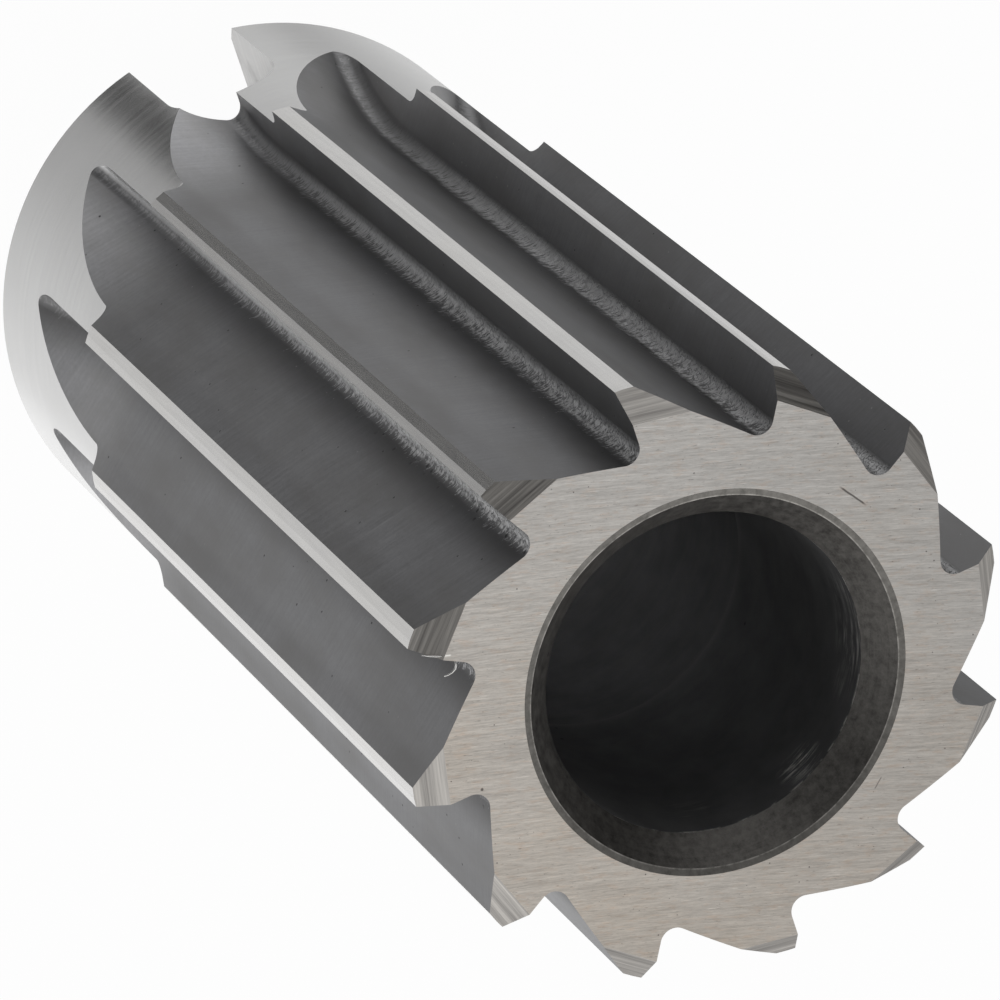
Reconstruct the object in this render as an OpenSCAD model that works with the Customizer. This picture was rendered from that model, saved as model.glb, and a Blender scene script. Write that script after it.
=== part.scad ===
// Shell reamer, right-hand cut, straight flutes, tapered through bore.
// The slotted rear face stands on z = 0 and the cutting end points along +Z.
// The driving slot runs along X. All sizes are in millimetres.

/* [Body] */
// diameter over the cutting edges
cutting_diameter = 34.925; // [33.5:0.025:41.5]
// length from the rear face to the front face
overall_length = 76.2; // [72:0.1:95]
// length of the teeth, measured from the front face
tooth_length = 57.0; // [45:0.5:61]
// how far the rear collar lies below the cutting edges, on the radius
collar_drop = 0.96; // [0.5:0.02:1.6]
// bevel on the rear rim of the collar
collar_bevel = 1.0; // [0.2:0.1:2]
// radius of the hollow corner where a tooth steps down to the collar
step_fillet = 0.8; // [0.3:0.05:1.5]

/* [Teeth] */
// number of cutting teeth
tooth_count = 12; // [10:1:14]
// width of the ground land behind each cutting edge
land_width = 1.1; // [0.5:0.05:1.6]
// angle between the land and the tangent at its cutting edge
land_relief = 8.3; // [4:0.1:12]
// depth of the flutes below the cutting edges, on the radius
flute_depth = 3.53; // [2.8:0.01:3.9]
// radius of the hollow corner at the bottom of each flute
root_fillet = 0.87; // [0.3:0.01:1.2]

/* [Front chamfer] */
// axial length of the chamfer at the cutting edge
chamfer_length = 1.5; // [0.6:0.1:2.4]
// angle between the chamfer and the axis
chamfer_angle = 45; // [35:1:55]
// angle between each chamfer facet and the tangent at its cutting edge
chamfer_relief = 10.9; // [6:0.1:14]

/* [Flute run-out] */
// radius of the disc shape that the flute ends follow
runout_radius = 28.6; // [20:0.2:36]
// height above the rear ends of the teeth at which the flute floor starts to rise
runout_lead = 0.2; // [-3:0.1:2]

/* [Bore] */
// bore diameter at the rear face
bore_diameter = 19.05; // [16:0.05:20.5]
// length over which the bore narrows by one unit on its diameter
bore_taper = 96; // [48:1:200]
// length of the fitting stretch at the rear end
rear_seat = 20.0; // [15:0.5:26]
// length from the front face to the front end of the relieved middle
front_seat = 19.7; // [12:0.1:26]
// depth of the relieved middle below the rear bore size, on the radius
bore_relief = 0.6; // [0.2:0.05:1.2]
// bevel at the rear end of the bore
bore_bevel = 0.5; // [0.2:0.05:1]

/* [Front mouth] */
// diameter of the mouth cone where it meets the edge ring
mouth_diameter = 21.2; // [20.7:0.1:23]
// axial length of the mouth cone
mouth_depth = 1.65; // [0.8:0.05:3]
// width of the flat ring bevel around the mouth
edge_ring = 0.4; // [0.2:0.05:0.8]
// axial depth of the ring bevel
edge_ring_depth = 0.1; // [0.05:0.05:0.3]

/* [Driving slot] */
// width of the slot across the rear face
slot_width = 6.9; // [5:0.1:7.1]
// depth of the slot down to the lowest point of its round floor
slot_depth = 11.8; // [8:0.1:13]

/* [Hidden] */
$fn = 96;
// overlap of the cutting shapes beyond the faces they cut
over = 1;
cut_r = cutting_diameter / 2;
// the toothed length starts larger and the land facets bring it to size
stock_r = cut_r + over / 2;
collar_r = cut_r - collar_drop;
pitch = 360 / tooth_count;
// height at which the teeth begin above the rear face
tooth_base = overall_length - tooth_length;
runout_start = tooth_base + runout_lead;
step_r = min(step_fillet, collar_drop);
// distance of the land facet from the axis, and the angle that the land covers
land_apothem = cut_r * cos(land_relief);
land_sweep = 2 * asin(land_width / (2 * cut_r));
land_back_r = land_apothem / cos(land_sweep - land_relief);
// flute: rake face on y = 0, heel line up to the back corner of the next land
root_r = cut_r - flute_depth;
heel_x = land_back_r * cos(pitch - land_sweep);
heel_y = land_back_r * sin(pitch - land_sweep);
fillet_x = root_r + root_fillet;
// the heel line runs from the land corner down to the root fillet
heel_reach = norm([heel_x - fillet_x, heel_y - root_fillet]);
heel_lean = atan2(heel_x - fillet_x, heel_y - root_fillet) + asin(root_fillet / heel_reach);
// flat strips that make up the root fillet
fillet_strips = 5;
fillet_turn = (90 + heel_lean) / fillet_strips;
heel_slope = tan(heel_lean);
flute_top = cut_r + 2 * over;
flute_side = heel_y + 2 * over;
disc_x = root_r + runout_radius;
disc_sweep = 40;
// radius of the cutting edge at the front face, and distance of the chamfer facet
front_r = cut_r - chamfer_length * tan(chamfer_angle);
chamfer_apothem = front_r * cos(chamfer_relief);
chamfer_reach = 3 * chamfer_length;
// half width of the flat cutters, which overlap their neighbours outside the teeth
facet_half = stock_r * tan(pitch / 2) + over / 2;
// bore radii along the axis
bore_r = bore_diameter / 2;
relief_r = bore_r + bore_relief;
relief_top = overall_length - front_seat;
mouth_base = overall_length - edge_ring_depth - mouth_depth;
mouth_r = mouth_diameter / 2;
slot_r = slot_width / 2;
slot_centre = slot_depth - slot_r;

// bore radius at height z
function seat_r(z) = bore_r - z / (2 * bore_taper);
// point on the root fillet, turned by angle a from the rake face
function fillet_point(a) = [fillet_x - root_fillet * sin(a), root_fillet * (1 - cos(a))];

// outline of the flute between two teeth: x along the radius, y across
module flute_outline() {
    far_x = heel_x + (flute_side - heel_y) * heel_slope;
    polygon(concat(
        [[flute_top, 0]],
        [for (i = [0 : fillet_strips]) fillet_point(i * fillet_turn)],
        [[far_x, flute_side], [flute_top, flute_side]]
    ));
}

// straight flute with a rear end that rises along a disc
module flute() {
    translate([0, 0, runout_start])
        linear_extrude(height = overall_length - runout_start + over)
            flute_outline();
    translate([disc_x, 0, runout_start])
        mirror([1, 0, 0])
            rotate([-90, 0, 0])
                rotate_extrude(angle = disc_sweep)
                    translate([disc_x, 0])
                        mirror([1, 0])
                            flute_outline();
}

// turned blank: collar, step with a hollow corner, stock for the teeth
module blank() {
    rotate([0, 0, pitch / 2])
        rotate_extrude()
            difference() {
                polygon([
                    [0, 0],
                    [collar_r - collar_bevel, 0],
                    [collar_r, collar_bevel],
                    [collar_r, tooth_base - step_r],
                    [collar_r + step_r, tooth_base],
                    [stock_r, tooth_base],
                    [stock_r, overall_length],
                    [0, overall_length]
                ]);
                translate([collar_r + step_r, tooth_base - step_r])
                    circle(r = step_r);
            }
}

// flat cutter that leaves the relieved land of one tooth
module land_cut() {
    rotate([0, 0, -land_relief])
        translate([land_apothem, -facet_half, tooth_base - over])
            cube([2 * over, 2 * facet_half, tooth_length + 2 * over]);
}

// flat cutter that leaves the relieved front facet of one tooth
module chamfer_cut() {
    rotate([0, 0, -chamfer_relief])
        translate([chamfer_apothem, 0, overall_length])
            rotate([0, -chamfer_angle, 0])
                translate([0, -facet_half, -2 * chamfer_reach])
                    cube([chamfer_reach, 2 * facet_half, 3 * chamfer_reach]);
}

// through bore: rear seat, relieved middle, front seat and mouth cone
module bore() {
    rotate([0, 0, pitch / 2])
        rotate_extrude()
            polygon([
                [0, -over],
                [bore_r + bore_bevel + over, -over],
                [seat_r(0) + bore_bevel, 0],
                [seat_r(bore_bevel), bore_bevel],
                [seat_r(rear_seat), rear_seat],
                [relief_r, rear_seat + bore_relief],
                [relief_r, relief_top - bore_relief],
                [seat_r(relief_top), relief_top],
                [seat_r(mouth_base), mouth_base],
                [mouth_r, mouth_base + mouth_depth],
                [mouth_r + edge_ring, overall_length],
                [mouth_r + edge_ring, overall_length + over],
                [0, overall_length + over]
            ]);
}

// driving slot across the rear face with a round floor
module slot() {
    translate([-cut_r - over, -slot_r, -over])
        cube([2 * (cut_r + over), slot_width, slot_centre + over]);
    translate([-cut_r - over, 0, slot_centre])
        rotate([0, 90, 0])
            cylinder(r = slot_r, h = 2 * (cut_r + over));
}

module reamer_body() {
    color([0.62, 0.61, 0.59])
        difference() {
            blank();
            for (i = [0 : tooth_count - 1])
                rotate([0, 0, i * pitch]) {
                    flute();
                    land_cut();
                    chamfer_cut();
                }
            bore();
            slot();
        }
}

reamer_body();
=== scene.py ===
"""Shell reamer: the visual model, its materials, the studio and the camera."""

import math

import bmesh
import bpy
import numpy as np
from mathutils import Matrix, Vector
from mathutils.geometry import delaunay_2d_cdt


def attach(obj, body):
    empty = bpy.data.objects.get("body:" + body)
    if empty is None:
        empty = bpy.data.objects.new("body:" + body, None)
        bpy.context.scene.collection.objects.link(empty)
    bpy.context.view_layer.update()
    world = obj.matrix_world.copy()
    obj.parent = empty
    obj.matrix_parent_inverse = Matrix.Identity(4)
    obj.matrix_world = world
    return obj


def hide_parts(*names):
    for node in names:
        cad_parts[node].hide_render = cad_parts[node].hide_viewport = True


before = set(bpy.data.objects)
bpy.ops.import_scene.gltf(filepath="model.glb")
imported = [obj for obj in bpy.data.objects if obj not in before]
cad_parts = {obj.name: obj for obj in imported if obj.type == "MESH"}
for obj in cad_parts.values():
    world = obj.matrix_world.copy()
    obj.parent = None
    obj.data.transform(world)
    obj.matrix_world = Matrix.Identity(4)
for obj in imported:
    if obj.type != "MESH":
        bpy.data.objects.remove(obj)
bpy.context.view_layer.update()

MM = 0.001

# Sizes of the part in millimetres, the same as the CAD's.
CUT_R = 34.925 / 2
LENGTH = 76.2
TOOTH_BASE = LENGTH - 57.0
COLLAR_R = CUT_R - 0.96
COLLAR_BEVEL = 1.0
STEP_R = 0.8
TEETH = 12
PITCH = math.radians(360 / TEETH)
LAND_WIDTH = 1.1
LAND_RELIEF = math.radians(8.3)
ROOT_R = CUT_R - 3.53
FILLET = 0.87
CHAMFER_LENGTH = 1.5
CHAMFER_RELIEF = math.radians(10.9)
RUNOUT_R = 28.6
RUNOUT_START = TOOTH_BASE + 0.2
BORE_R = 19.05 / 2
BORE_TAPER = 96
REAR_SEAT = 20.0
FRONT_SEAT = 19.7
BORE_RELIEF = 0.6
BORE_BEVEL = 0.5
MOUTH_R = 21.2 / 2
MOUTH_DEPTH = 1.65
RING = 0.4
RING_DEPTH = 0.1
SLOT_R = 6.9 / 2
SLOT_DEPTH = 11.8

# Shape that only the scene has: a margin ground along each cutting edge at less relief than
# the rest of the land, and the heel's slight bulge in the middle.
MARGIN_RELIEF = math.radians(5.5)
HEEL_CROWN = 0.07

# Segments along the rake face, the root fillet, the heel, the land and the land's margin,
# then those of the rake face and of the heel that the front facets cut.
RAKE_N, FILLET_N, HEEL_N, LAND_N, MARGIN_N = 10, 16, 26, 12, 5
RAKE_CUT_N, HEEL_CUT_N = 4, 8
# Places along the flute's outline, from 0 to 1, where the rake face and the fillet end.
RAKE_T, FILLET_T = 0.2, 0.5
# Rings over the teeth, the step and the run-outs, and how strongly the last crowd at their end.
TOOTH_RINGS, STEP_RINGS, RUNOUT_RINGS, RUNOUT_EASE = 26, 10, 44, 1.7
CHAMFER_GAP = 0.3
COLLAR_RINGS = (5.0, 3.0, COLLAR_BEVEL)
# Points round the bore, the angle of the first one, rings along each stretch of it, points
# along each facet's inner edge and round the slot's arc.
BORE_N, BORE_TURN, BORE_RINGS, FACET_N, SLOT_N = 216, 0.01, 9, 13, 60
# How far the slot's cutter passes the part at its ends and below.
SLOT_PAST, SLOT_BELOW = 2, 1.0

# Steps of the two searches along the outline, where the search for the front facet's cut of
# the heel begins, and where the one for the deepest place ends.
HALVINGS, THIRDS = 60, 80
HEEL_FROM, DEEPEST_TO = 0.6, 0.9
# Distances in mm within which points are one, and the angle in radians by which a cutting edge
# may lie before its own flute.
FILL_MERGE, SAME = 1e-7, 1e-6
EDGE_HAIR = 3e-4
# Points this near the rake face's plane, and at most this far past its inner end, count as
# on it.
RAKE_NEAR, RAKE_OVERLAP = 0.01, 0.05
# Distances in metres at which vertices merge and slivers go, before and after the slot's cut.
MERGE, SLIVER = 2e-7, 1e-8
CUT_MERGE, CUT_SLIVER = 2e-6, 1e-6
# Edges sharper than this many degrees stay sharp, on the lands and elsewhere.
LAND_SHARP, SHARP = 3, 17

# Derived sizes. The flute's outline lies in the XY plane, with its cutting edge on X.
SEAT_END = LENGTH - FRONT_SEAT
MOUTH_END = LENGTH - RING_DEPTH - MOUTH_DEPTH
LAND_SWEEP = 2 * math.asin(LAND_WIDTH / (2 * CUT_R))
LAND_BACK_R = CUT_R * math.cos(LAND_RELIEF) / math.cos(LAND_SWEEP - LAND_RELIEF)
MARGIN_SWEEP = LAND_SWEEP * MARGIN_N / LAND_N
MARGIN_R = CUT_R * math.cos(MARGIN_RELIEF) / math.cos(MARGIN_SWEEP - MARGIN_RELIEF)
HEEL = np.array([math.cos(PITCH - LAND_SWEEP), math.sin(PITCH - LAND_SWEEP)]) * LAND_BACK_R
FILLET_X = ROOT_R + FILLET
HEEL_REACH = math.hypot(HEEL[0] - FILLET_X, HEEL[1] - FILLET)
HEEL_LEAN = math.atan2(HEEL[0] - FILLET_X, HEEL[1] - FILLET) + math.asin(FILLET / HEEL_REACH)
FILLET_TURN = math.pi / 2 + HEEL_LEAN
FILLET_END = np.array([
    FILLET_X - FILLET * math.sin(FILLET_TURN),
    FILLET * (1 - math.cos(FILLET_TURN)),
])
HEEL_RUN = HEEL - FILLET_END
HEEL_OUT = np.array([HEEL_RUN[1], -HEEL_RUN[0]]) / np.hypot(*HEEL_RUN)
DISC_X = ROOT_R + RUNOUT_R
CHAMFER_APOTHEM = (CUT_R - CHAMFER_LENGTH) * math.cos(CHAMFER_RELIEF)

# Regions of the surface, each with its own material.
FRONT, RIM, MOUTH, BORE, FACET, LAND, FLUTE, COLLAR, SLOT, REAR = range(10)


# Outline

def flute_point(t):
    """Point on the flute's outline: 0 is the cutting edge, 1 the back corner of the next land."""
    if t <= RAKE_T:
        return np.array([CUT_R + (FILLET_X - CUT_R) * t / RAKE_T, 0.0])
    if t <= FILLET_T:
        a = FILLET_TURN * (t - RAKE_T) / (FILLET_T - RAKE_T)
        return np.array([FILLET_X - FILLET * math.sin(a), FILLET * (1 - math.cos(a))])
    u = (t - FILLET_T) / (1 - FILLET_T)
    return FILLET_END + HEEL_RUN * u + HEEL_OUT * (4 * HEEL_CROWN * u * (1 - u))


def sunk_point(t, s):
    """The same point at a distance s into the run-out, where the outline rises along the disc."""
    x, y = flute_point(t)
    if s <= 0:
        return np.array([x, y])
    return np.array([DISC_X - math.sqrt(max((DISC_X - x) ** 2 - s * s, 0)), y])


def reach(t, radius):
    """How far into the run-out the outline at t meets the cylinder of this radius."""
    x, y = flute_point(t)
    limit = math.sqrt(radius * radius - y * y)
    return math.copysign(math.sqrt(abs((DISC_X - x) ** 2 - (DISC_X - limit) ** 2)), limit - x)


def crossing(lo, hi, function):
    """Where function changes sign between lo and hi."""
    low_sign = function(lo) > 0
    for _ in range(HALVINGS):
        mid = (lo + hi) / 2
        if (function(mid) > 0) == low_sign:
            lo = mid
        else:
            hi = mid
    return (lo + hi) / 2


def deepest(radius):
    """The place on the outline whose run-out reaches furthest on the cylinder of this radius."""
    lo, hi = RAKE_T, DEEPEST_TO
    for _ in range(THIRDS):
        a, b = lo + (hi - lo) / 3, hi - (hi - lo) / 3
        if reach(a, radius) < reach(b, radius):
            lo = a
        else:
            hi = b
    return (lo + hi) / 2


def facet_over(point, lead):
    """How far a point lies outside a front facet's foot, for the tooth with its edge at lead."""
    a = lead - CHAMFER_RELIEF
    return math.cos(a) * point[0] + math.sin(a) * point[1] - CHAMFER_APOTHEM


# Places along the outline, with one at each end of the front face's own share of it.
CUT_START = crossing(0, RAKE_T, lambda t: facet_over(flute_point(t), 0))
CUT_END = crossing(HEEL_FROM, 1, lambda t: facet_over(flute_point(t), PITCH))
STEPS = np.concatenate([
    np.linspace(0, CUT_START, RAKE_CUT_N + 1)[:-1],
    np.linspace(CUT_START, RAKE_T, RAKE_N - RAKE_CUT_N + 1)[:-1],
    np.linspace(RAKE_T, FILLET_T, FILLET_N + 1)[:-1],
    np.linspace(FILLET_T, CUT_END, HEEL_N - HEEL_CUT_N + 1)[:-1],
    np.linspace(CUT_END, 1, HEEL_CUT_N + 1),
])
FLUTE_N = len(STEPS) - 1
START_I = RAKE_CUT_N
END_I = FLUTE_N - HEEL_CUT_N
PER_TOOTH = FLUTE_N + LAND_N


def land_radius(a):
    """Radius of the land at angle a behind its cutting edge."""
    if a <= MARGIN_SWEEP:
        r0, a0, r1, a1 = CUT_R, 0.0, MARGIN_R, MARGIN_SWEEP
    else:
        r0, a0, r1, a1 = MARGIN_R, MARGIN_SWEEP, LAND_BACK_R, LAND_SWEEP
    return r0 * r1 * math.sin(a1 - a0) / (r0 * math.sin(a - a0) + r1 * math.sin(a1 - a))


def blank_radius(z):
    """Radius of the turned blank at height z: collar, then the step's hollow corner."""
    if z < COLLAR_BEVEL:
        return COLLAR_R - COLLAR_BEVEL + z
    low = TOOTH_BASE - STEP_R
    if z <= low:
        return COLLAR_R
    return COLLAR_R + STEP_R - math.sqrt(max(STEP_R**2 - (z - low) ** 2, 0))


def tooth_section(z):
    """One pitch of the outline at height z over the teeth: the flute, then the land."""
    flute = np.array([sunk_point(t, max(RUNOUT_START - z, 0)) for t in STEPS])
    flute *= np.minimum(1, CUT_R / np.hypot(flute[:, 0], flute[:, 1]))[:, None]
    angles = np.linspace(PITCH - LAND_SWEEP, PITCH, LAND_N + 1)[1:-1]
    land = [[land_radius(PITCH - a) * f(a) for f in (math.cos, math.sin)] for a in angles]
    return np.vstack([flute, land])


def blank_section(z, radius):
    """The same on the turned blank of this radius, which bounds the run-outs."""
    s = max(RUNOUT_START - z, 0)
    top = deepest(radius)
    if s >= reach(top, radius):
        x, y = sunk_point(top, reach(top, radius))
        start = end = math.atan2(y, x)
        flute = np.array([[radius * math.cos(start), radius * math.sin(start)]] * len(STEPS))
    else:
        first = crossing(0, top, lambda t: reach(t, radius) - s)
        if np.hypot(*sunk_point(1, s)) < radius:
            last = 1.0
        else:
            last = crossing(top, 1, lambda t: reach(t, radius) - s)
        flute = np.array([sunk_point(first + (last - first) * t, s) for t in STEPS])
        start = math.atan2(flute[0][1], flute[0][0])
        end = math.atan2(flute[-1][1], flute[-1][0])
    land = []
    for a in np.linspace(end, PITCH + start, LAND_N + 1)[1:-1]:
        r = radius
        if z > TOOTH_BASE - STEP_R and PITCH - a <= LAND_SWEEP and a <= PITCH:
            r = min(radius, land_radius(PITCH - a))
        land.append([r * math.cos(a), r * math.sin(a)])
    return np.vstack([flute, land])


def turned(points, k):
    """Points of one pitch, turned to pitch k."""
    c, s = math.cos(k * PITCH), math.sin(k * PITCH)
    return points @ np.array([[c, s], [-s, c]])


def ring(section, z):
    """A full ring of 3-D points at height z."""
    return [[*p, z] for k in range(TEETH) for p in turned(section, k)]


def front_height(i, point):
    """Height of the front ring's point i, which follows the edge of the facets."""
    if i <= START_I:
        return LENGTH - max(facet_over(point, 0), 0)
    if i >= END_I:
        return LENGTH - max(facet_over(point, PITCH), 0)
    return LENGTH


def outer_levels():
    """The outline's rings from the front down, each as a list of 3-D points."""
    front = tooth_section(LENGTH)
    heights = [front_height(i, p) for i, p in enumerate(front)]
    rings = [[
        [*turned(p[None], k)[0], h] for k in range(TEETH) for p, h in zip(front, heights)
    ]]
    for z in np.linspace(LENGTH - CHAMFER_LENGTH - CHAMFER_GAP, RUNOUT_START, TOOTH_RINGS):
        rings.append(ring(tooth_section(z), z))
    rings.append(ring(tooth_section(TOOTH_BASE), TOOTH_BASE))
    low = TOOTH_BASE - STEP_R
    for z in np.linspace(TOOTH_BASE, low, STEP_RINGS):
        rings.append(ring(blank_section(z, blank_radius(z)), z))
    apex = RUNOUT_START - reach(deepest(COLLAR_R), COLLAR_R)
    levels = [
        low + (apex - low) * (1 - (1 - u) ** RUNOUT_EASE)
        for u in np.linspace(0, 1, RUNOUT_RINGS)[1:]
    ]
    for z in (*levels, *COLLAR_RINGS):
        rings.append(ring(blank_section(z, COLLAR_R), z))
    rings.append(ring(blank_section(0.0, COLLAR_R - COLLAR_BEVEL), 0.0))
    return rings


def seat_r(z):
    """Radius of the tapered bore at height z."""
    return BORE_R - z / (2 * BORE_TAPER)


def bore_levels():
    """Rings of the bore from the front down."""
    relief_r = BORE_R + BORE_RELIEF
    relief_top, relief_low = SEAT_END - BORE_RELIEF, REAR_SEAT + BORE_RELIEF
    profile = [(MOUTH_R + RING, LENGTH), (MOUTH_R, LENGTH - RING_DEPTH)]
    profile += [(seat_r(z), z) for z in np.linspace(MOUTH_END, SEAT_END, BORE_RINGS)]
    profile += [(relief_r, z) for z in np.linspace(relief_top, relief_low, BORE_RINGS)]
    profile += [(seat_r(z), z) for z in np.linspace(REAR_SEAT, BORE_BEVEL, BORE_RINGS)]
    profile.append((seat_r(0) + BORE_BEVEL, 0.0))
    angles = np.arange(BORE_N) * 2 * math.pi / BORE_N + BORE_TURN
    return [[[r * math.cos(a), r * math.sin(a), z] for a in angles] for r, z in profile]


# Mesh

def fill_between(outer, inner):
    """Triangles of the flat ring between two closed loops of points."""
    points = [Vector(p[:2]) for p in outer] + [Vector(p[:2]) for p in inner]
    n, m = len(outer), len(inner)
    edges = [(i, (i + 1) % n) for i in range(n)] + [(n + i, n + (i + 1) % m) for i in range(m)]
    corners, _, triangles, sources, _, _ = delaunay_2d_cdt(points, edges, [], 0, FILL_MERGE)
    loop = np.array([p[:2] for p in outer])
    hole = min(math.hypot(p[0], p[1]) for p in inner)
    faces = []
    for f in triangles:
        c = sum((np.array(corners[i]) for i in f), np.zeros(2)) / 3
        if np.hypot(*c) < hole:
            continue
        # The triangle is kept if a ray from its centre crosses the outer loop an odd number of times.
        x, y = loop[:, 0] - c[0], loop[:, 1] - c[1]
        x2, y2 = np.roll(x, -1), np.roll(y, -1)
        hits = ((y > 0) != (y2 > 0)) & (x - y * (x2 - x) / np.where(y2 == y, 1, y2 - y) > 0)
        if hits.sum() % 2:
            faces.append([sources[i][0] for i in f])
    return faces


def fill_loop(points):
    """Triangles that fill one closed loop of points."""
    loop = [list(range(len(points)))]
    made = delaunay_2d_cdt([Vector(p[:2]) for p in points], [], loop, 1, FILL_MERGE)
    _, _, triangles, sources, _, _ = made
    return [[sources[i][0] for i in f] for f in triangles]


def apart_on_plan(a, b):
    """Distance between two points seen along Z."""
    return np.hypot(*(np.array(a) - np.array(b))[:2])


class Body:
    """Vertices, faces and regions of the reamer in millimetres, without the driving slot."""

    def __init__(self):
        self.verts, self.faces, self.regions = [], [], []
        outer = [self.put(r) for r in outer_levels()]
        for a, b in zip(outer, outer[1:]):
            self.skin_outside(a, b)
        bore = [self.put(r) for r in bore_levels()]
        for n, (a, b) in enumerate(zip(bore, bore[1:])):
            self.skin_bore(a, b, (RIM, MOUTH)[n] if n < 2 else BORE)
        self.close_front(outer[0], bore[0])
        self.close_rear(outer[-1], bore[-1])

    def put(self, points):
        first = len(self.verts)
        self.verts.extend(points)
        return list(range(first, len(self.verts)))

    def face(self, corners, region):
        self.faces.append(corners)
        self.regions.append(region)

    def skin_outside(self, upper, lower):
        """Joins two rings of the outline: the flutes, with the lands or the collar between them."""
        for i in range(len(upper)):
            j = (i + 1) % len(upper)
            if i % PER_TOOTH < FLUTE_N:
                region = FLUTE
            else:
                region = LAND if self.verts[upper[i]][2] > TOOTH_BASE + SAME else COLLAR
            self.face([upper[i], lower[i], lower[j], upper[j]], region)

    def skin_bore(self, upper, lower, region):
        for i in range(len(upper)):
            j = (i + 1) % len(upper)
            self.face([upper[j], lower[j], lower[i], upper[i]], region)

    def close_front(self, top, mouth):
        """The front facets, each with a straight inner edge, and the front face inside them."""
        front = []
        for k in range(TEETH):
            base = k * PER_TOOTH
            front += [top[base + i] for i in range(START_I, END_I + 1)]
            rim = [top[(base + i) % len(top)] for i in range(END_I, PER_TOOTH + START_I + 1)]
            a, b = np.array(self.verts[rim[0]]), np.array(self.verts[rim[-1]])
            line = self.put([list(a + (b - a) * u) for u in np.linspace(0, 1, FACET_N)[1:-1]])
            front += line
            loop = rim + line[::-1]
            for f in fill_loop([self.verts[i] for i in loop]):
                self.face([loop[i] for i in f], FACET)
        ids = front + mouth
        for f in fill_between([self.verts[i] for i in front], [self.verts[i] for i in mouth]):
            self.face([ids[i] for i in f], FRONT)

    def close_rear(self, rim, hole):
        """The rear face. The groove's points have run together there, so each is used once."""
        outer = []
        for i in rim:
            if not outer or apart_on_plan(self.verts[i], self.verts[outer[-1]]) > SAME:
                outer.append(i)
        if apart_on_plan(self.verts[outer[0]], self.verts[outer[-1]]) < SAME:
            outer.pop()
        ids = outer + hole
        for f in fill_between([self.verts[i] for i in outer], [self.verts[i] for i in hole]):
            self.face([ids[i] for i in f][::-1], REAR)


def make_mesh(name, verts, faces, regions):
    """A clean mesh in metres with every material in its slots."""
    mesh = bpy.data.meshes.new(name)
    mesh.from_pydata([[c * MM for c in v] for v in verts], [], faces)
    for material in MATERIALS:
        mesh.materials.append(material)
    mesh.polygons.foreach_set("material_index", regions)
    bm = bmesh.new()
    bm.from_mesh(mesh)
    bmesh.ops.remove_doubles(bm, verts=bm.verts, dist=MERGE)
    bmesh.ops.dissolve_degenerate(bm, edges=bm.edges, dist=SLIVER)
    bmesh.ops.recalc_face_normals(bm, faces=bm.faces)
    bm.to_mesh(mesh)
    bm.free()
    return mesh


def add_object(name, mesh):
    made = bpy.data.objects.new(name, mesh)
    bpy.context.scene.collection.objects.link(made)
    return made


def slot_cutter():
    """The driving slot as a bar with a round top, lying along X."""
    centre = SLOT_DEPTH - SLOT_R
    outline = [(-SLOT_R, -SLOT_BELOW), (SLOT_R, -SLOT_BELOW)]
    outline += [
        (SLOT_R * math.cos(a), centre + SLOT_R * math.sin(a))
        for a in np.linspace(0, math.pi, SLOT_N)
    ]
    x = CUT_R + SLOT_PAST
    n = len(outline)
    verts = [[-x, y, z] for y, z in outline] + [[x, y, z] for y, z in outline]
    faces = [list(range(n)), list(range(2 * n - 1, n - 1, -1))]
    faces += [[i, i + n, (i + 1) % n + n, (i + 1) % n] for i in range(n)]
    return add_object("slot_cutter", make_mesh("slot_cutter", verts, faces, [SLOT] * len(faces)))


def cut_slot(body):
    """Cuts the driving slot into the body's mesh."""
    cutter = slot_cutter()
    cut = body.modifiers.new("slot", "BOOLEAN")
    cut.operation = "DIFFERENCE"
    cut.solver = "EXACT"
    cut.object = cutter
    bpy.context.view_layer.update()
    graph = bpy.context.evaluated_depsgraph_get()
    mesh = bpy.data.meshes.new_from_object(body.evaluated_get(graph))
    body.modifiers.clear()
    spent = [body.data, cutter.data]
    body.data = mesh
    bpy.data.objects.remove(cutter)
    for old in spent:
        bpy.data.meshes.remove(old)
    # The cut leaves slivers at the slot's rim: they merge, and what is left fills with triangles.
    bm = bmesh.new()
    bm.from_mesh(mesh)
    bmesh.ops.remove_doubles(bm, verts=bm.verts, dist=CUT_MERGE)
    many_sided = [f for f in bm.faces if len(f.verts) > 4]
    bmesh.ops.triangulate(bm, faces=many_sided, ngon_method="BEAUTY")
    bmesh.ops.dissolve_degenerate(bm, edges=bm.edges, dist=CUT_SLIVER)
    bm.to_mesh(mesh)
    bm.free()


def smooth_mesh(mesh):
    """Shades the mesh smooth, with sharp edges between regions and at corners."""
    bm = bmesh.new()
    bm.from_mesh(mesh)
    for f in bm.faces:
        f.smooth = True
    for e in bm.edges:
        a, b = e.link_faces
        limit = math.radians(LAND_SHARP if a.material_index == LAND else SHARP)
        e.smooth = a.material_index == b.material_index and e.calc_face_angle(0) < limit
    bm.to_mesh(mesh)
    bm.free()


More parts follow.
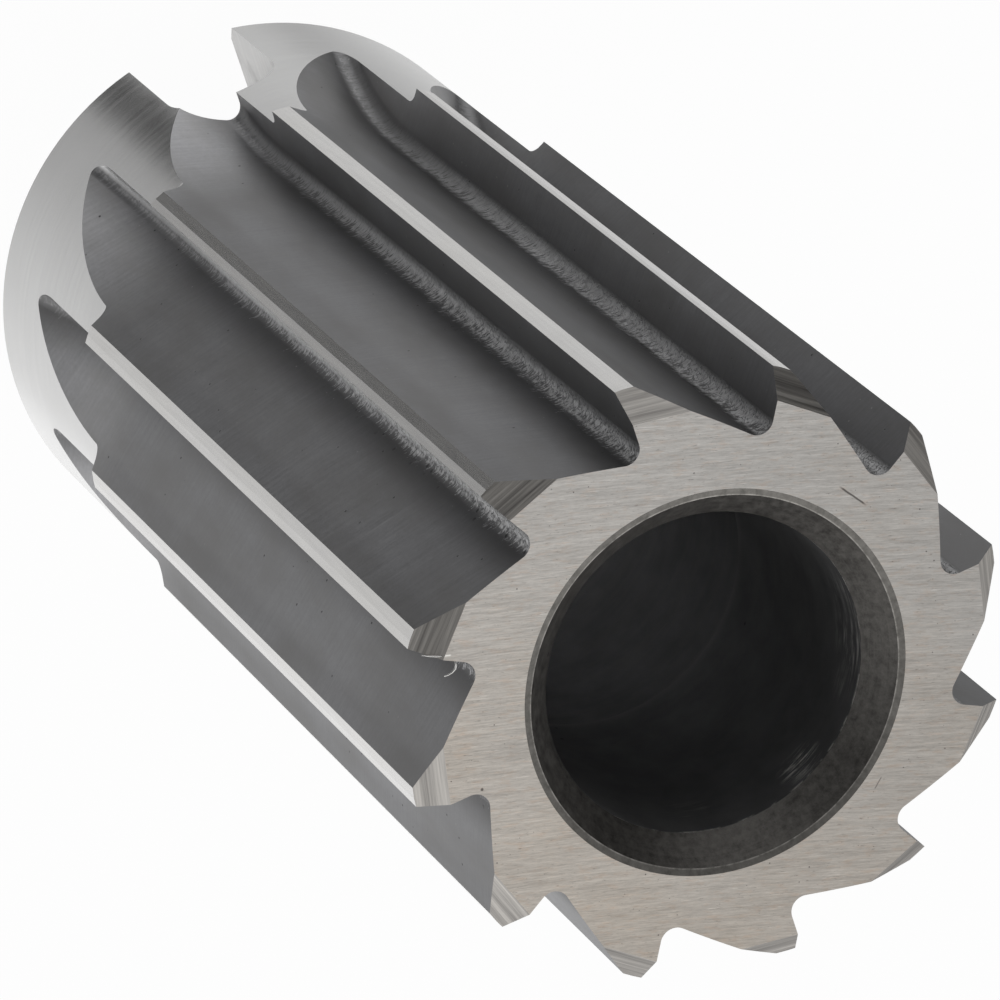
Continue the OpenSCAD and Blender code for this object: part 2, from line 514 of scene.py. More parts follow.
def store_place(mesh):
    """Stores each vertex's place for the flutes' material: distance along the outline, and flute.

    The distance is in mm: negative on the rake face, then up through the root fillet and the heel.
    """
    co = np.zeros(len(mesh.vertices) * 3)
    mesh.vertices.foreach_get("co", co)
    co = co.reshape(-1, 3) / MM
    turn = np.arctan2(co[:, 1], co[:, 0]) % (2 * math.pi)
    flute = np.floor((turn + EDGE_HAIR) / PITCH)
    c, s = np.cos(-flute * PITCH), np.sin(-flute * PITCH)
    x, y = co[:, 0] * c - co[:, 1] * s, co[:, 0] * s + co[:, 1] * c
    sunk = np.maximum(RUNOUT_START - co[:, 2], 0)
    x = DISC_X - np.sqrt(np.maximum((DISC_X - x) ** 2 + sunk * sunk, 0))
    around = np.arctan2(FILLET_X - x, FILLET - y) % (2 * math.pi)
    heel = FILLET * FILLET_TURN + np.hypot(x - FILLET_END[0], y - FILLET_END[1])
    along = np.where(around <= FILLET_TURN, FILLET * around, heel)
    on_rake = (y < RAKE_NEAR) & (x > FILLET_X - RAKE_OVERLAP)
    along = np.where(on_rake, FILLET_X - x, along)
    place = mesh.attributes.new("place", "FLOAT_VECTOR", "POINT")
    values = np.stack([along, flute % TEETH, np.zeros_like(along)], 1)
    place.data.foreach_set("vector", values.ravel())
    mesh.update()


# Two thin burrs at the front of one tooth: points of the middle line in mm, and the thickest radius.
BURRS = (
    (((8.38, 14.66, 75.40), (8.31, 14.35, 75.74), (8.24, 14.04, 76.00), (8.19, 13.80, 76.12)), 0.05),
    (((7.66, 13.18, 76.10), (7.38, 13.22, 76.12), (7.19, 13.33, 76.12), (7.07, 13.55, 76.10),
      (7.02, 13.78, 76.08), (7.02, 14.02, 76.06)), 0.065),
)
BURR_SIDES = 8
# Share of a burr's radius that its ends keep.
BURR_END = 0.45


def burr_tube(points, radius, first):
    """Vertices and faces of a closed tube that tapers to both ends, numbered from first."""
    line = np.array(points)
    last = len(line) - 1
    verts, faces = [], []
    for i, point in enumerate(line):
        ahead = line[min(i + 1, last)] - line[max(i - 1, 0)]
        ahead /= np.linalg.norm(ahead)
        side = np.cross(ahead, (0.0, 0.0, 1.0))
        side /= np.linalg.norm(side)
        over = np.cross(side, ahead)
        swell = math.sin(math.pi * (i + 0.6) / (len(line) + 0.2))
        r = radius * (BURR_END + (1 - BURR_END) * swell)
        for a in np.arange(BURR_SIDES) * 2 * math.pi / BURR_SIDES:
            verts.append(list(point + r * (math.cos(a) * side + math.sin(a) * over)))
    for i in range(last):
        low = first + i * BURR_SIDES
        for j in range(BURR_SIDES):
            k = (j + 1) % BURR_SIDES
            faces.append([low + j, low + k, low + BURR_SIDES + k, low + BURR_SIDES + j])
    end = first + last * BURR_SIDES
    faces.append(list(range(first, first + BURR_SIDES)))
    faces.append(list(range(end + BURR_SIDES - 1, end - 1, -1)))
    return verts, faces


def make_burrs():
    verts, faces = [], []
    for points, radius in BURRS:
        more_verts, more_faces = burr_tube(points, radius, len(verts))
        verts += more_verts
        faces += more_faces
    mesh = make_mesh("burrs", verts, faces, [LAND] * len(faces))
    for polygon in mesh.polygons:
        polygon.use_smooth = len(polygon.vertices) == 4
    made = add_object("burrs", mesh)
    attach(made, "root")


# Node trees

class Nodes:
    """A node tree, built up by small calls."""

    def __init__(self, tree):
        self.tree = tree
        tree.nodes.clear()

    def add(self, kind, **settings):
        node = self.tree.nodes.new(kind)
        for key, value in settings.items():
            setattr(node, key, value)
        return node

    def feed(self, socket, value):
        if isinstance(value, bpy.types.NodeSocket):
            self.tree.links.new(value, socket)
        else:
            socket.default_value = value

    def math(self, operation, *values, clamp=False):
        node = self.add("ShaderNodeMath", operation=operation, use_clamp=clamp)
        for socket, value in zip(node.inputs, values):
            self.feed(socket, value)
        return node.outputs[0]

    def chain(self, operation, values):
        total = values[0]
        for value in values[1:]:
            total = self.math(operation, total, value)
        return total

    def times(self, *values):
        return self.chain("MULTIPLY", values)

    def plus(self, *values):
        return self.chain("ADD", values)

    def most(self, *values):
        return self.chain("MAXIMUM", values)

    def apart(self, value, other):
        """How far one number is from another."""
        return self.math("ABSOLUTE", self.math("SUBTRACT", value, other))

    def ramp(self, value, low, high, to_low=0.0, to_high=1.0, smooth=False):
        """The value's place between low and high, held within to_low and to_high."""
        node = self.add("ShaderNodeMapRange", clamp=True)
        if smooth:
            node.interpolation_type = "SMOOTHSTEP"
        for socket, v in zip(node.inputs, (value, low, high, to_low, to_high)):
            self.feed(socket, v)
        return node.outputs[0]

    def mix_shader(self, factor, first, second):
        node = self.add("ShaderNodeMixShader")
        for socket, value in zip(node.inputs, (factor, first, second)):
            self.tree.links.new(value, socket)
        return node.outputs[0]


class Metal(Nodes):
    """A material's node tree, with coordinates in mm and the place on the flutes."""

    def __init__(self, name):
        self.material = bpy.data.materials.new(name)
        self.material.use_nodes = True
        super().__init__(self.material.node_tree)
        scaled = self.add("ShaderNodeVectorMath", operation="SCALE")
        self.feed(scaled.inputs[0], self.add("ShaderNodeTexCoord").outputs["Object"])
        scaled.inputs["Scale"].default_value = 1 / MM
        self.mm = scaled.outputs[0]
        self.place = self.add("ShaderNodeAttribute", attribute_name="place").outputs["Vector"]

    def parts(self, vector):
        node = self.add("ShaderNodeSeparateXYZ")
        self.feed(node.inputs[0], vector)
        return node.outputs[0], node.outputs[1], node.outputs[2]

    def vector(self, *parts):
        """A vector from three parts, each a value or a pair of a value and its factor."""
        node = self.add("ShaderNodeCombineXYZ")
        for socket, part in zip(node.inputs, parts):
            self.feed(socket, self.times(*part) if isinstance(part, tuple) else part)
        return node.outputs[0]

    def noise(self, vector, scale=1.0, detail=4.0, rough=0.55, warp=0.0):
        node = self.add("ShaderNodeTexNoise", noise_dimensions="3D")
        self.feed(node.inputs["Vector"], vector)
        node.inputs["Scale"].default_value = scale
        node.inputs["Detail"].default_value = detail
        node.inputs["Roughness"].default_value = rough
        node.inputs["Distortion"].default_value = warp
        return node.outputs["Fac"]

    def cells(self, vector, scale):
        """Distance to the nearest of scattered points, and a random number of its own for each."""
        node = self.add("ShaderNodeTexVoronoi", voronoi_dimensions="3D", feature="F1")
        self.feed(node.inputs["Vector"], vector)
        node.inputs["Scale"].default_value = scale
        node.inputs["Randomness"].default_value = 1.0
        return node.outputs["Distance"], self.parts(node.outputs["Color"])[0]

    def pits(self, vector, scale, size, share):
        """1 in small scattered spots of about this size in mm, on this share of the cells."""
        distance, number = self.cells(vector, scale)
        near = self.ramp(distance, size * scale * 0.5, size * scale, 1.0, 0.0)
        return self.times(near, self.ramp(number, share, share + 0.02, 1.0, 0.0))

    def mix(self, factor, a, b, blend="MIX"):
        node = self.add("ShaderNodeMix", data_type="RGBA", blend_type=blend, clamp_factor=True)
        self.feed(node.inputs[0], factor)
        for socket, value in zip((node.inputs[6], node.inputs[7]), (a, b)):
            self.feed(socket, (*value, 1.0) if isinstance(value, tuple) else value)
        return node.outputs[2]

    def tint(self, colour, factor):
        """The colour times another colour, or times a number."""
        if not isinstance(factor, tuple):
            factor = self.vector(factor, factor, factor)
        return self.mix(1.0, colour, factor, "MULTIPLY")

    def turn(self, degrees):
        """Coordinates in mm about axes turned by this angle about Z, as (x, y, z)."""
        x, y, z = self.parts(self.mm)
        c, s = math.cos(math.radians(degrees)), math.sin(math.radians(degrees))
        along = self.plus(self.times(x, c), self.times(y, s))
        across = self.math("SUBTRACT", self.times(y, c), self.times(x, s))
        return along, across, z

    def from_axis(self):
        """Distance from the part's axis in mm."""
        x, y, _ = self.parts(self.mm)
        return self.math("SQRT", self.plus(self.times(x, x), self.times(y, y)))

    def stroke(self, start, end, width):
        """1 on a slightly wavy line between two points of the XY plane, in mm, fading at its ends."""
        length = math.dist(start, end)
        c, s = (end[0] - start[0]) / length, (end[1] - start[1]) / length
        along, across, _ = self.turn(math.degrees(math.atan2(s, c)))
        middle = start[0] * c + start[1] * s + length / 2
        off = start[1] * c - start[0] * s
        # The noise is about half on average, so the wave is centred on the line.
        wave = 0.1
        waved = self.plus(across, self.times(self.noise(self.mm, 1.2, 2, 0.5), wave))
        near = self.ramp(self.apart(waved, off + wave / 2), width * 0.4, width, 1.0, 0.0)
        inside = self.ramp(self.apart(along, middle), length * 0.35, length / 2, 1.0, 0.0)
        return self.times(near, inside)

    def steel(self, colour, rough, height=None, depth=0.01, edge=1.0):
        """Closes the tree with a metal of this colour, roughness, relief in mm and grazing tint."""
        shader = self.add("ShaderNodeBsdfPrincipled")
        self.feed(shader.inputs["Base Color"], colour)
        shader.inputs["Metallic"].default_value = 1.0
        shader.inputs["Specular Tint"].default_value = (edge, edge, edge, 1.0)
        self.feed(shader.inputs["Roughness"], rough)
        if height is not None:
            bump = self.add("ShaderNodeBump")
            bump.inputs["Strength"].default_value = 1.0
            bump.inputs["Distance"].default_value = depth * MM
            self.feed(bump.inputs["Height"], height)
            self.tree.links.new(bump.outputs[0], shader.inputs["Normal"])
        out = self.add("ShaderNodeOutputMaterial")
        self.tree.links.new(shader.outputs[0], out.inputs[0])
        return self.material


# Materials

# Direction of the grinding on the front face and the rear face, in degrees from X.
GRAIN, REAR_GRAIN = -110.9, 20.0
# Angle of the front face's axes: it is a little warmer along the first, and painted shade darkens it
# along the second.
WARM_AND_SHADE_ANGLE = 140.0
# Marks on the front face, each from one point to another in mm, and its width.
BURR_MARK = ((8.22, 13.86), (8.07, 13.30), 0.07)
SCRATCH = ((7.73, -9.80), (6.01, -10.97), 0.07)
FAINT_SCRATCH = ((-9.81, -6.57), (-9.29, -7.22), 0.05)
# Scuffed places in the bore, with painted glints on them: where, how far each reaches in mm, and how
# strong it is.
BORE_SCUFF_GLINTS = (
    ((-8.49, -4.04, 72.9), 1.7, 1.0),
    ((-0.4, -9.4, 73.0), 2.6, 0.5),
    ((-2.7, -9.0, 72.9), 2.6, 0.6),
    ((-4.9, -8.0, 72.7), 1.6, 0.3),
    ((-9.1, 2.4, 71.4), 1.8, 0.2),
)
# The flute whose root has a smooth strip, made pale by a painted highlight.
LIT_STRIP_FLUTE = 1.0


def ground_lines(t, degrees, bend):
    """Fine and coarse grinding lines along one slightly bent direction, as two noise values."""
    along, across, z = t.turn(degrees)
    across = t.plus(across, t.times(along, along, bend))
    fine = t.noise(t.vector((along, 0.85), (across, 11.0), z), 1.0, 4, 0.85)
    coarse = t.noise(t.vector((along, 0.14), (across, 3.2), z), 1.0, 4, 0.8)
    return fine, coarse


def turned_lines(t, per_mm):
    """Fine rings round the axis."""
    x, y, z = t.parts(t.mm)
    angle = t.math("ARCTAN2", y, x)
    return t.noise(t.vector((z, per_mm), (t.from_axis(), per_mm), (angle, 0.8)), 1.0, 4, 0.7)


def front_material():
    """Ground front face: lines one way, a warmer side, painted shade across it, stains, specks and a
    few scratches.
    """
    t = Metal("ground_face")
    fine, coarse = ground_lines(t, GRAIN, 0.0015)
    with_grain, over_grain, z = t.turn(GRAIN)

    def streaks(length, width, place):
        return t.noise(t.vector((with_grain, length), (over_grain, width), place), 1.0, 3, 0.75)

    tone = t.plus(t.times(fine, 0.6), t.times(coarse, 0.4))
    colour = t.mix(t.ramp(tone, 0.34, 0.66), (0.40, 0.385, 0.366), (0.74, 0.715, 0.68))
    flecks = t.ramp(streaks(1.6, 8.0, 7.0), 0.60, 0.72, 0.0, 0.75)
    colour = t.mix(flecks, colour, (0.27, 0.25, 0.235))
    pale_lines = t.ramp(streaks(0.35, 15.0, 11.0), 0.62, 0.72, 0.0, 0.8)
    colour = t.mix(pale_lines, colour, (0.96, 0.94, 0.91))
    warm_flecks = t.ramp(streaks(0.8, 3.0, 3.0), 0.52, 0.66, 0.0, 0.7)
    colour = t.mix(warm_flecks, colour, t.tint(colour, (1.0, 0.91, 0.85)))
    colour = t.mix(t.stroke(*BURR_MARK), colour, (0.95, 0.95, 0.92))
    # Warmer towards one side, with faint patches.
    along, across, _ = t.turn(WARM_AND_SHADE_ANGLE)
    blotch = t.ramp(t.noise(t.mm, 0.12, 3, 0.5), 0.45, 0.70, 0.0, 0.35)
    warm = t.math("ADD", t.ramp(along, -10.0, 16.0, 0.0, 0.75), blotch, clamp=True)
    # Painted shade: the face darkens across, towards one side.
    colour = t.tint(colour, t.ramp(across, -14.0, 16.0, 1.04, 0.84))
    colour = t.mix(warm, colour, t.tint(colour, (1.0, 0.94, 0.87)))
    patches = t.ramp(t.noise(t.vector(along, across, z), 0.9, 4, 0.6), 0.45, 0.65)
    stain = t.times(t.pits(t.mm, 0.42, 0.30, 0.08), patches, 0.45)
    colour = t.mix(stain, colour, (0.42, 0.30, 0.22))
    dark = t.most(
        t.pits(t.mm, 0.50, 0.11, 0.10),
        t.pits(t.mm, 1.6, 0.05, 0.22),
        t.times(t.pits(t.mm, 3.1, 0.035, 0.15), 0.7),
        t.stroke(*SCRATCH),
        t.times(t.stroke(*FAINT_SCRATCH), 0.6),
    )
    colour = t.mix(t.times(dark, 0.80), colour, (0.08, 0.07, 0.065))
    height = t.math("SUBTRACT", fine, t.times(dark, 2.0))
    return t.steel(colour, t.ramp(fine, 0.3, 0.7, 0.30, 0.44), height, 0.006)


def rim_material():
    """Thin ring round the mouth, with a painted highlight along its inner edge."""
    t = Metal("mouth_rim")
    grain = t.noise(t.mm, 2.2, 5, 0.65)
    colour = t.mix(t.ramp(grain, 0.3, 0.7), (0.13, 0.125, 0.115), (0.23, 0.22, 0.205))
    # Painted highlight along the inner edge, broken up by the grain.
    inner = t.ramp(t.from_axis(), MOUTH_R + 0.03, MOUTH_R + 0.09, 1.0, 0.0)
    colour = t.mix(t.times(inner, t.ramp(grain, 0.35, 0.6, 0.10, 0.65)), colour, (0.52, 0.50, 0.47))
    return t.steel(colour, 0.42, grain, 0.006)


def mouth_material():
    """Dark mottled cone inside the mouth."""
    t = Metal("mouth_cone")
    rings = turned_lines(t, 4.0)
    mottle = t.noise(t.mm, 1.8, 6, 0.75)
    colour = t.mix(t.ramp(mottle, 0.36, 0.66), (0.082, 0.078, 0.074), (0.195, 0.187, 0.176))
    colour = t.mix(t.ramp(rings, 0.35, 0.7, 0.0, 0.35), colour, (0.22, 0.21, 0.195))
    colour = t.mix(t.times(t.pits(t.mm, 0.8, 0.20, 0.10), 0.6), colour, (0.03, 0.03, 0.03))
    return t.steel(colour, t.ramp(mottle, 0.3, 0.7, 0.46, 0.58), rings, 0.006)


def bore_material():
    """Dark ground bore with faint rings, painted light and shade along its depth, a painted highlight
    where the relief begins, and scuffed places near its mouth with painted glints.
    """
    t = Metal("bore_wall")
    rings = turned_lines(t, 3.0)
    x, y, z = t.parts(t.mm)
    mottle = t.noise(t.mm, 0.35, 4, 0.6)
    colour = t.mix(t.ramp(mottle, 0.35, 0.65), (0.266, 0.267, 0.273), (0.335, 0.336, 0.342))
    colour = t.mix(t.ramp(rings, 0.42, 0.75, 0.0, 0.35), colour, (0.42, 0.41, 0.395))
    # Painted light and shade: paler deeper in the bore, darker near its mouth.
    colour = t.tint(colour, t.ramp(z, 50.0, 71.0, 1.60, 0.85, smooth=True))
    # Painted highlight: a pale line where the relief begins.
    line = t.ramp(t.apart(z, SEAT_END - BORE_RELIEF), 0.2, 1.4, 0.3, 0.0, smooth=True)
    colour = t.mix(line, colour, (0.95, 0.94, 0.92))
    colour = t.mix(t.times(t.pits(t.mm, 0.5, 0.16, 0.10), 0.6), colour, (0.04, 0.04, 0.04))
    # Scuffed places near the mouth and dashes along its lip: wear with painted glints, a little
    # rougher too.
    patches = []
    for place, size, amount in BORE_SCUFF_GLINTS:
        near = t.add("ShaderNodeVectorMath", operation="DISTANCE")
        t.feed(near.inputs[0], t.mm)
        near.inputs[1].default_value = place
        patches.append(t.times(t.ramp(near.outputs["Value"], size * 0.4, size, 1.0, 0.0), amount))
    scuff_glint = t.noise(t.vector((x, 0.5), (y, 0.5), (z, 5.0)), 1.0, 4, 0.7)
    worn_and_glinting = t.times(t.most(*patches), t.ramp(scuff_glint, 0.48, 0.62))
    dashes = t.ramp(t.noise(t.mm, 1.1, 3, 0.6), 0.46, 0.58)
    lip = t.times(t.ramp(z, MOUTH_END - 0.20, MOUTH_END - 0.02), dashes)
    rubbed_and_glinting = t.most(worn_and_glinting, lip)
    colour = t.mix(rubbed_and_glinting, colour, (0.95, 0.93, 0.90))
    rough = t.plus(t.ramp(rings, 0.3, 0.7, 0.54, 0.66), t.times(rubbed_and_glinting, 0.15))
    return t.steel(colour, rough, rings, 0.005)


def facet_material():
    """Front chamfer facets, each ground straight along its own edge."""
    t = Metal("front_facet")
    x, y, _ = t.parts(t.mm)
    # Two whole turns keep the angle positive, and a hair less puts a cutting edge with its tooth.
    angle = t.plus(t.math("ARCTAN2", y, x), 4 * math.pi - 0.001)
    tooth = t.math("FLOOR", t.math("DIVIDE", angle, PITCH))
    facing = t.math("SUBTRACT", t.times(t.plus(tooth, 1.0), PITCH), CHAMFER_RELIEF)
    c, s = t.math("COSINE", facing), t.math("SINE", facing)
    out = t.plus(t.times(x, c), t.times(y, s))
    side = t.math("SUBTRACT", t.times(y, c), t.times(x, s))
    own = t.times(tooth, 7.3)
    lines = t.noise(t.vector((side, 0.12), (out, 7.0), own), 1.0, 4, 0.7)
    bands = t.noise(t.vector((side, 0.04), (out, 1.8), own), 1.0, 2, 0.5)
    tone = t.plus(t.times(lines, 0.6), t.times(bands, 0.4))
    colour = t.mix(t.ramp(tone, 0.38, 0.62), (0.28, 0.267, 0.254), (0.66, 0.632, 0.595))
    colour = t.mix(t.times(t.pits(t.mm, 1.1, 0.06, 0.10), 0.7), colour, (0.08, 0.07, 0.06))
    return t.steel(colour, t.ramp(lines, 0.3, 0.7, 0.28, 0.42), lines, 0.006, edge=0.45)


def land_material():
    """Bright ground lands with faint lines along and across them."""
    t = Metal("ground_land")
    x, y, z = t.parts(t.mm)
    arc = t.times(t.math("ARCTAN2", y, x), CUT_R)
    lines = t.noise(t.vector((arc, 4.0), 0.0, (z, 0.25)), 1.0, 2, 0.5)
    cross = t.noise(t.vector((arc, 0.8), 3.0, (z, 6.0)), 1.0, 3, 0.6)
    cloud = t.noise(t.mm, 0.25, 2, 0.5)
    colour = t.mix(t.ramp(lines, 0.3, 0.7), (0.75, 0.74, 0.73), (0.83, 0.82, 0.805))
    colour = t.mix(t.ramp(cross, 0.5, 0.72, 0.0, 0.25), colour, (0.66, 0.65, 0.635))
    colour = t.mix(t.ramp(cloud, 0.4, 0.7, 0.0, 0.35), colour, (0.80, 0.785, 0.75))
    return t.steel(colour, t.ramp(lines, 0.3, 0.7, 0.19, 0.20))


def flute_material():
    """Milled flutes: dark walls with fine cutter marks, painted shade and highlights, a rough torn
    band along the root.
    """
    t = Metal("milled_flute")
    _, _, z = t.parts(t.mm)
    s, flute, _ = t.parts(t.place)
    own = t.times(flute, 11.7)
    wall = t.vector(s, own, z)

    def pattern(along, lean, up):
        """Coordinates stretched along the outline and up the flute, leaning as the outline goes on."""
        return t.vector((s, along), own, (t.plus(z, t.times(s, lean)), up))

    # Cutter marks and clouds on the walls.
    grain = t.noise(wall, 3.5, 4, 0.65)
    marks = t.noise(pattern(0.30, 0.25, 4.2), 1.0, 3, 0.6)
    cloud = t.noise(pattern(0.30, 0.0, 0.11), 1.0, 4, 0.6)
    tone = t.plus(t.times(grain, 0.45), t.times(marks, 0.55))
    colour = t.mix(t.ramp(tone, 0.3, 0.7), (0.285, 0.285, 0.293), (0.395, 0.395, 0.405))
    colour = t.mix(t.ramp(cloud, 0.38, 0.66, 0.0, 0.6), colour, (0.275, 0.270, 0.266))
    # Painted shade and light: darker at the root and the front, paler on the rake face and at the
    # run-out.
    shade = t.times(
        t.ramp(s, 0.7, 4.2, 0.46, 1.0, smooth=True),
        t.ramp(s, 6.3, 7.4, 1.0, 0.90, smooth=True),
        t.ramp(z, 58.0, 76.0, 1.0, 0.86, smooth=True),
        t.ramp(z, 14.0, 24.0, 1.5, 1.0, smooth=True),
        t.ramp(s, -0.2, 0.2, 1.9, 1.0),
    )
    colour = t.tint(colour, shade)
    # Torn steel that runs up the heel from the root, ragged at its edge and strongest near the front.
    fine = t.noise(pattern(1.5, 0.55, 5.5), 1.0, 3, 0.7, 0.5)
    slow = t.noise(t.vector(0.0, own, (z, 0.55)), 1.0, 3, 0.6)
    top = t.plus(t.ramp(fine, 0.30, 0.72, 0.45, 1.95), t.ramp(slow, 0.3, 0.7, -0.25, 0.25))
    body = t.times(
        t.ramp(s, -0.12, 0.15),
        t.ramp(t.math("SUBTRACT", top, s), 0.0, 0.18),
        t.ramp(z, 16.0, 44.0, 0.30, 1.0),
    )
    ridge = t.ramp(fine, 0.34, 0.60, 0.55, 1.0)
    colour = t.mix(t.times(body, ridge, 0.85), colour, (0.56, 0.56, 0.565))
    # Smooth strip along one root, made pale by a painted highlight.
    this_flute = t.math("COMPARE", flute, LIT_STRIP_FLUTE, 0.1)
    strip = t.times(t.ramp(s, -0.10, 0.05), t.ramp(s, 0.60, 0.95, 1.0, 0.0), this_flute)
    colour = t.mix(strip, colour, (0.80, 0.80, 0.80))
    # Cracked scales on the torn steel.
    front = t.ramp(z, 30.0, 74.0, 0.35, 1.0, smooth=True)
    scale = t.noise(pattern(2.0, -0.6, 2.4), 1.0, 2, 0.5, 1.4)
    crack = t.times(t.ramp(t.apart(scale, 0.5), 0.0, 0.045, 1.0, 0.0), body, front)
    colour = t.mix(t.times(crack, 0.85), colour, (0.07, 0.07, 0.07))
    # A painted highlight along the torn steel's crest, broken into crumbs.
    crumbs = t.ramp(t.noise(pattern(3.0, 0.0, 3.0), 1.0, 3, 0.7), 0.46, 0.60)
    crest = t.times(t.ramp(t.apart(s, 1.12), 0.03, 0.16, 1.0, 0.0), crumbs, front, 0.7)
    colour = t.mix(crest, colour, (0.70, 0.70, 0.70))
    # Pale specks on the walls, then dark ones there and holes at the torn steel's edge.
    pale = t.times(t.pits(wall, 1.5, 0.07, 0.10), t.ramp(s, 1.6, 4.5, 1.0, 0.3), 0.6)
    colour = t.mix(pale, colour, (0.62, 0.62, 0.61))
    torn = t.times(t.ramp(s, 0.85, 1.1), t.ramp(s, 1.5, 2.3, 1.0, 0.0), t.ramp(z, 40.0, 66.0))
    dark = t.most(t.times(t.pits(wall, 1.7, 0.17, 0.30), torn), t.pits(wall, 1.3, 0.09, 0.12))
    colour = t.mix(t.times(dark, 0.8), colour, (0.05, 0.05, 0.05))
    rough_body = t.math("SUBTRACT", body, t.times(strip, 0.8), clamp=True)
    height = t.plus(tone, t.times(rough_body, fine, 1.6))
    height = t.math("SUBTRACT", height, t.times(t.most(crack, dark), 2.5))
    return t.steel(colour, t.ramp(tone, 0.3, 0.7, 0.38, 0.50), height, 0.012, edge=0.80)


def collar_material():
    """Pale ground collar with faint rings."""
    t = Metal("ground_collar")
    rings = turned_lines(t, 3.0)
    cloud = t.noise(t.mm, 0.16, 3, 0.5)
    colour = t.mix(t.ramp(rings, 0.35, 0.65), (0.70, 0.698, 0.695), (0.745, 0.743, 0.738))
    colour = t.mix(t.ramp(cloud, 0.42, 0.68, 0.0, 0.35), colour, (0.66, 0.655, 0.65))
    return t.steel(colour, t.ramp(rings, 0.3, 0.7, 0.18, 0.23), rings, 0.0005)


def slot_material():
    """Milled driving slot with lines along it."""
    t = Metal("milled_slot")
    x, y, z = t.parts(t.mm)
    lines = t.noise(t.vector((x, 0.2), (y, 2.0), (z, 2.0)), 1.0, 4, 0.65)
    cloud = t.noise(t.mm, 0.5, 3, 0.5)
    colour = t.mix(t.ramp(lines, 0.3, 0.7), (0.56, 0.555, 0.55), (0.72, 0.715, 0.705))
    colour = t.mix(t.ramp(cloud, 0.52, 0.75, 0.0, 0.6), colour, (0.34, 0.335, 0.33))
    return t.steel(colour, t.ramp(lines, 0.3, 0.7, 0.30, 0.42), lines, 0.006)


def rear_material():
    """Ground rear face with a few dark spots."""
    t = Metal("ground_rear")
    fine, coarse = ground_lines(t, REAR_GRAIN, 0.001)
    tone = t.plus(t.times(fine, 0.65), t.times(coarse, 0.35))
    colour = t.mix(t.ramp(tone, 0.34, 0.66), (0.42, 0.405, 0.385), (0.64, 0.62, 0.59))
    colour = t.mix(t.times(t.pits(t.mm, 0.6, 0.12, 0.10), 0.7), colour, (0.10, 0.09, 0.08))
    return t.steel(colour, t.ramp(fine, 0.3, 0.7, 0.30, 0.46), fine, 0.006)


# In the order of the regions.
MATERIALS = [
    front_material(), rim_material(), mouth_material(), bore_material(), facet_material(),
    land_material(), flute_material(), collar_material(), slot_material(), rear_material(),
]

body = Body()
reamer = add_object("reamer", make_mesh("reamer", body.verts, body.faces, body.regions))
cut_slot(reamer)
smooth_mesh(reamer.data)
store_place(reamer.data)
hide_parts("reamer_body")
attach(reamer, "root")
make_burrs()


# Studio: white floor, soft light and the photograph's camera.

# The room's own level, then its soft lights and its darker spots: azimuth, elevation,
# cosines of the angles where each begins and is full, and its amount.
ROOM_LEVEL = 0.15
ROOM_LIGHTS = (
    (165, -10, -0.75, 0.75, 1.02),
    (-40, -62, 0.952, 0.995, 0.40),
    (-22, -8, 0.643, 0.978, 1.10),
    (-85, 0, 0.766, 0.978, -0.22),
    (28, -62, 0.985, 0.998, 0.06),
    (-178, -62, 0.950, 0.998, 0.28),
    (7, -64, 0.992, 0.9995, -0.45),
)
# The floor: half its side and its height in metres, its grey, how much of it glows to the
# camera, and how clear it is to reflections beyond and under the bore, with the radii between.
FLOOR_HALF, FLOOR_Z, FLOOR_GREY = 3.0, -0.00002, 0.9
FLOOR_GLOW, FLOOR_CLEAR, BORE_CLEAR = 0.97, 0.9, 0.2
CLEAR_FROM, CLEAR_TO = 0.009, 0.013

# The photograph's camera: the picture's width and the focal length in pixels, the sensor's
# width in mm, the clipping distances in metres, its place in mm and its axes.
PICTURE = 1000
FOCAL = 8538.9
SENSOR = 36.0
CLIP_FROM, CLIP_TO = 0.01, 20.0
CAMERA_AT = (201.71, 104.27, 473.96)
CAMERA_RIGHT = (-0.2876, -0.89138, 0.35032)
CAMERA_UP = (0.86327, -0.39968, -0.30826)
CAMERA_AHEAD = (-0.4148, -0.21376, -0.88445)


def toward(azimuth, elevation):
    """Unit vector in this direction, from angles in degrees."""
    a, e = math.radians(azimuth), math.radians(elevation)
    return Vector((math.cos(a) * math.cos(e), math.sin(a) * math.cos(e), math.sin(e)))


def light_room():
    """White to the camera, and soft lights on darker walls to the object."""
    world = bpy.data.worlds.new("studio")
    bpy.context.scene.world = world
    world.use_nodes = True
    s = Nodes(world.node_tree)
    path = s.add("ShaderNodeLightPath")
    coords = s.add("ShaderNodeTexCoord")
    total = ROOM_LEVEL
    for azimuth, elevation, edge, full, amount in ROOM_LIGHTS:
        dot = s.add("ShaderNodeVectorMath", operation="DOT_PRODUCT")
        dot.inputs[1].default_value = toward(azimuth, elevation)
        s.feed(dot.inputs[0], coords.outputs["Generated"])
        light = s.ramp(dot.outputs["Value"], edge, full, 0.0, amount, smooth=True)
        total = s.math("ADD", light, total)
    room = s.add("ShaderNodeBackground")
    s.feed(room.inputs["Strength"], total)
    white = s.add("ShaderNodeBackground")
    white.inputs["Color"].default_value = (1, 1, 1, 1)
    shown = s.mix_shader(path.outputs["Is Camera Ray"], room.outputs[0], white.outputs[0])
    s.feed(s.add("ShaderNodeOutputWorld").inputs[0], shown)


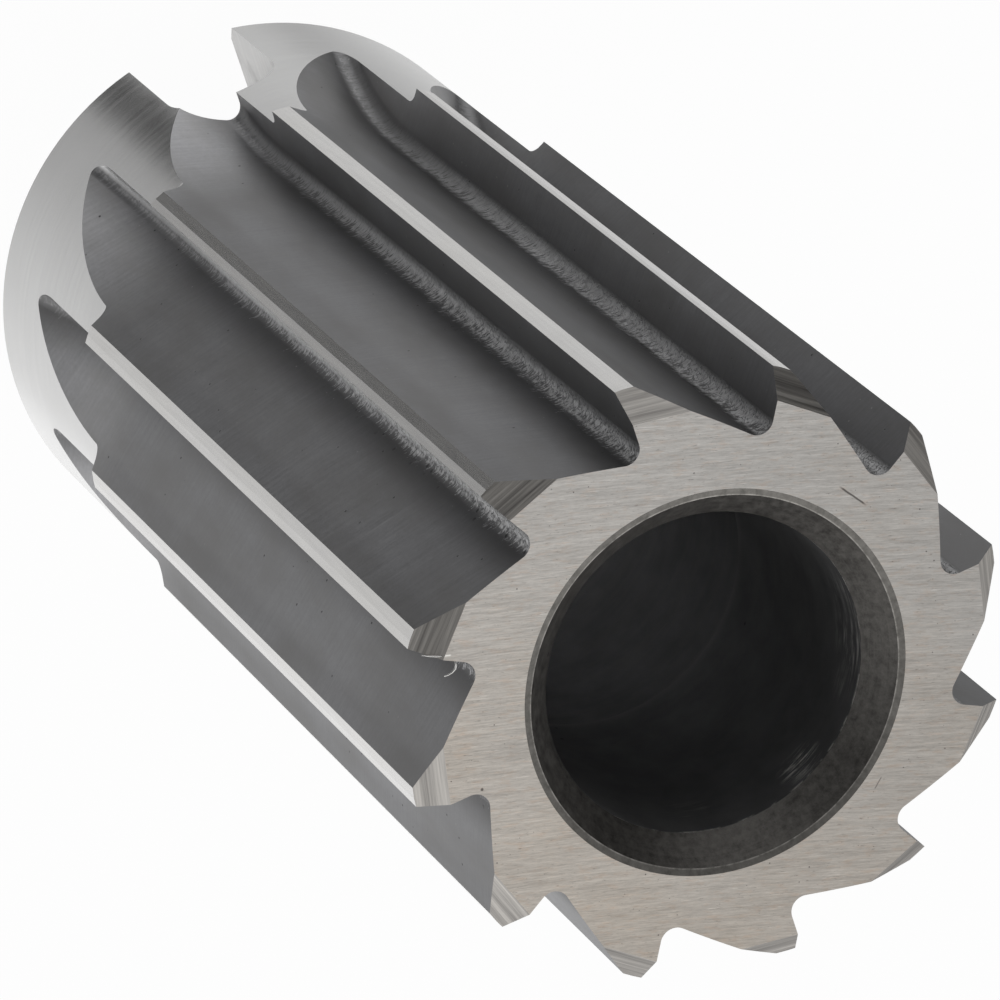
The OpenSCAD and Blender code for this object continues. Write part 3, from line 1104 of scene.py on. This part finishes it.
def floor_material():
    """White with a faint shadow to the camera; the metal sees the room's own light through it."""
    material = bpy.data.materials.new("floor")
    material.use_nodes = True
    s = Nodes(material.node_tree)
    path = s.add("ShaderNodeLightPath")
    paint = s.add("ShaderNodeBsdfDiffuse")
    paint.inputs["Color"].default_value = (FLOOR_GREY, FLOOR_GREY, FLOOR_GREY, 1)
    glow = s.add("ShaderNodeEmission")
    clear = s.add("ShaderNodeBsdfTransparent")
    shine = s.times(path.outputs["Is Camera Ray"], FLOOR_GLOW)
    lit = s.mix_shader(shine, paint.outputs[0], glow.outputs[0])
    # Under the bore the metal sees more of the shaded floor itself.
    place = s.add("ShaderNodeVectorMath", operation="LENGTH")
    s.feed(place.inputs[0], s.add("ShaderNodeTexCoord").outputs["Object"])
    beyond = s.ramp(
        place.outputs["Value"], CLEAR_FROM, CLEAR_TO, BORE_CLEAR, FLOOR_CLEAR, smooth=True
    )
    under = s.add("ShaderNodeNewGeometry").outputs["Backfacing"]
    hidden = s.most(s.times(path.outputs["Is Glossy Ray"], beyond), under)
    shown = s.mix_shader(hidden, lit, clear.outputs[0])
    s.feed(s.add("ShaderNodeOutputMaterial").inputs[0], shown)
    return material


def add_floor():
    mesh = bpy.data.meshes.new("floor")
    corners = [(-1, -1), (1, -1), (1, 1), (-1, 1)]
    verts = [(x * FLOOR_HALF, y * FLOOR_HALF, FLOOR_Z) for x, y in corners]
    mesh.from_pydata(verts, [], [(0, 1, 2, 3)])
    mesh.materials.append(floor_material())
    add_object("floor", mesh)


def add_lamp(name, azimuth, elevation, distance, size, power, aim=(0, 0, 0.04)):
    """A square soft light that looks at the object."""
    data = bpy.data.lights.new(name, "AREA")
    data.size = size
    data.energy = power
    back = toward(azimuth, elevation)
    made = add_object(name, data)
    made.location = Vector(aim) + back * distance
    made.rotation_mode = "QUATERNION"
    made.rotation_quaternion = back.to_track_quat("Z", "Y")


def add_camera():
    camera = bpy.data.cameras.new("camera")
    camera.sensor_width = SENSOR
    camera.lens = FOCAL / PICTURE * SENSOR
    camera.clip_start, camera.clip_end = CLIP_FROM, CLIP_TO
    eye = add_object("camera", camera)
    axes = Matrix((CAMERA_RIGHT, CAMERA_UP, -Vector(CAMERA_AHEAD))).transposed()
    eye.matrix_world = Matrix.Translation(Vector(CAMERA_AT) * MM) @ axes.to_4x4()
    bpy.context.scene.camera = eye


light_room()
add_floor()
add_lamp("key", azimuth=186, elevation=38, distance=0.9, size=0.7, power=0.3)
add_camera()
bpy.context.scene.view_settings.view_transform = "Standard"
